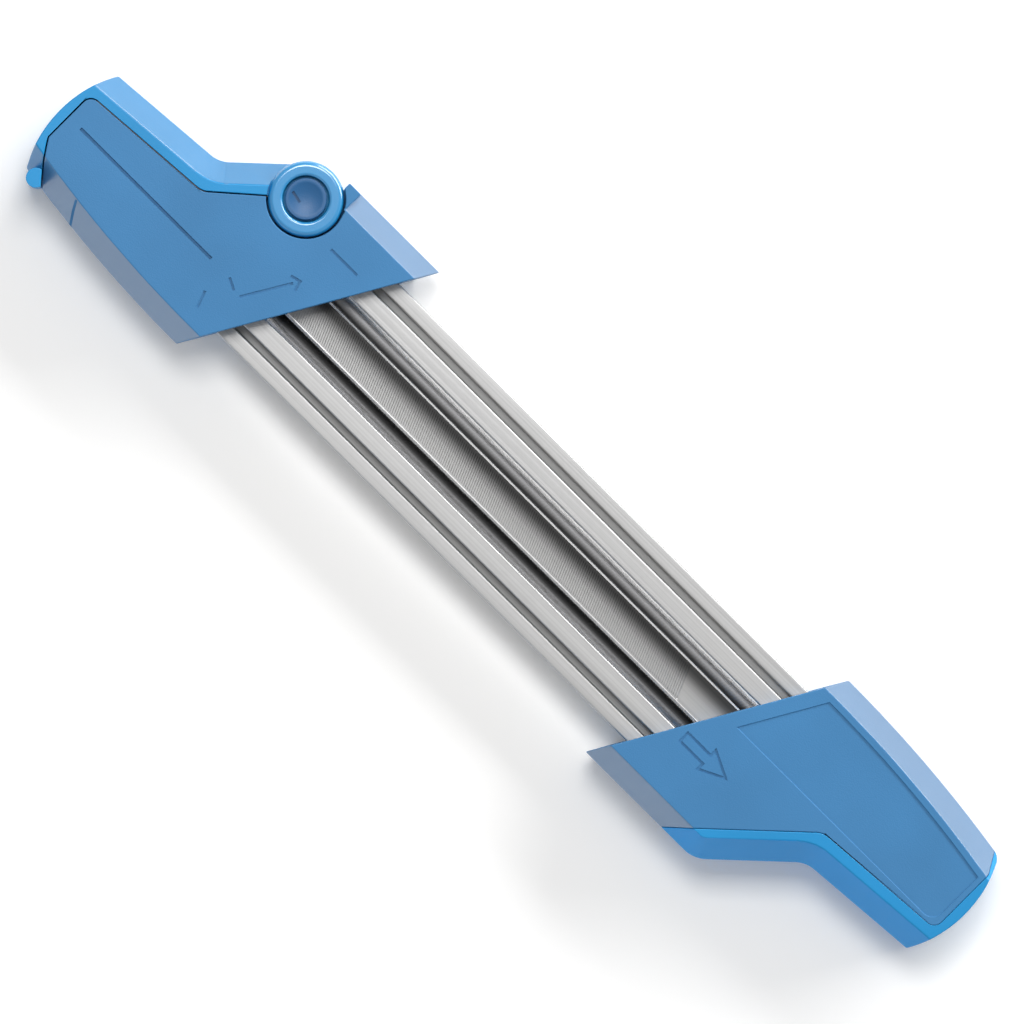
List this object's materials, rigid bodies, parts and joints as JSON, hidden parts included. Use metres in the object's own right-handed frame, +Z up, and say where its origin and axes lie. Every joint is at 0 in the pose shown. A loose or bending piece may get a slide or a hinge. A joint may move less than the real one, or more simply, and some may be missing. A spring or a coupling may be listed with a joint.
{
  "type": "manual chainsaw sharpener",
  "caption": "Two-handled file guide for sharpening saw chain: flat file between round files and steel guide rails, slanted handle fronts, and a locking lever that frees the files.",
  "frame": {"origin": "on the ground under the middle of the rails", "axes": "+X along the rails towards the fixed handle, +Z up out of the marked face, +Y across the tool towards the lever hinge's side"},
  "size_m": [0.362, 0.0708, 0.026],
  "materials": {
    "body_blue": "moulded, lightly textured",
    "bright_blue": "moulded, satin",
    "hinge_blue": "moulded, satin",
    "pad_rubber": "soft, matt",
    "holder_plastic": "moulded, matt",
    "rail_steel": "rolled and bent sheet, drawn along its length",
    "file_steel": "hardened, with cut teeth",
    "screw_steel": "plated"
  },
  "bodies": {
    "frame": {"left_upper_shell": "body_blue", "left_lower_shell": "body_blue", "right_upper_shell": "body_blue", "right_lower_shell": "body_blue", "right_end_grip": "bright_blue", "lever_hinge_pin": "hinge_blue", "lever_hinge_screw": "hinge_blue", "rear_guide_rail": "rail_steel", "front_guide_rail": "rail_steel", "flat_file": "file_steel", "left_file_holder": "holder_plastic", "right_file_seat": "holder_plastic", "left_rail_screws": "screw_steel", "right_rail_screws": "screw_steel", "left_shell_screw": "screw_steel", "right_shell_screw": "screw_steel"},
    "lever": {"locking_lever": "bright_blue", "lever_pressure_pad": "pad_rubber"},
    "rear_file": {"rear_round_file": "file_steel"},
    "front_file": {"front_round_file": "file_steel"}
  },
  "joints": [
    {"name": "lever_hinge", "type": "hinge", "parent": "frame", "child": "lever", "pos_m": [-0.11003, 0.0228, 0.013], "axis": [0, 0, -1], "range_deg": [0, 90]},
    {"name": "rear_file_turn", "type": "hinge", "parent": "frame", "child": "rear_file", "pos_m": [0, 0.0085, 0.00956], "axis": [1, 0, 0], "continuous": true},
    {"name": "front_file_turn", "type": "hinge", "parent": "frame", "child": "front_file", "pos_m": [0, -0.0085, 0.00956], "axis": [1, 0, 0], "continuous": true}
  ]
}
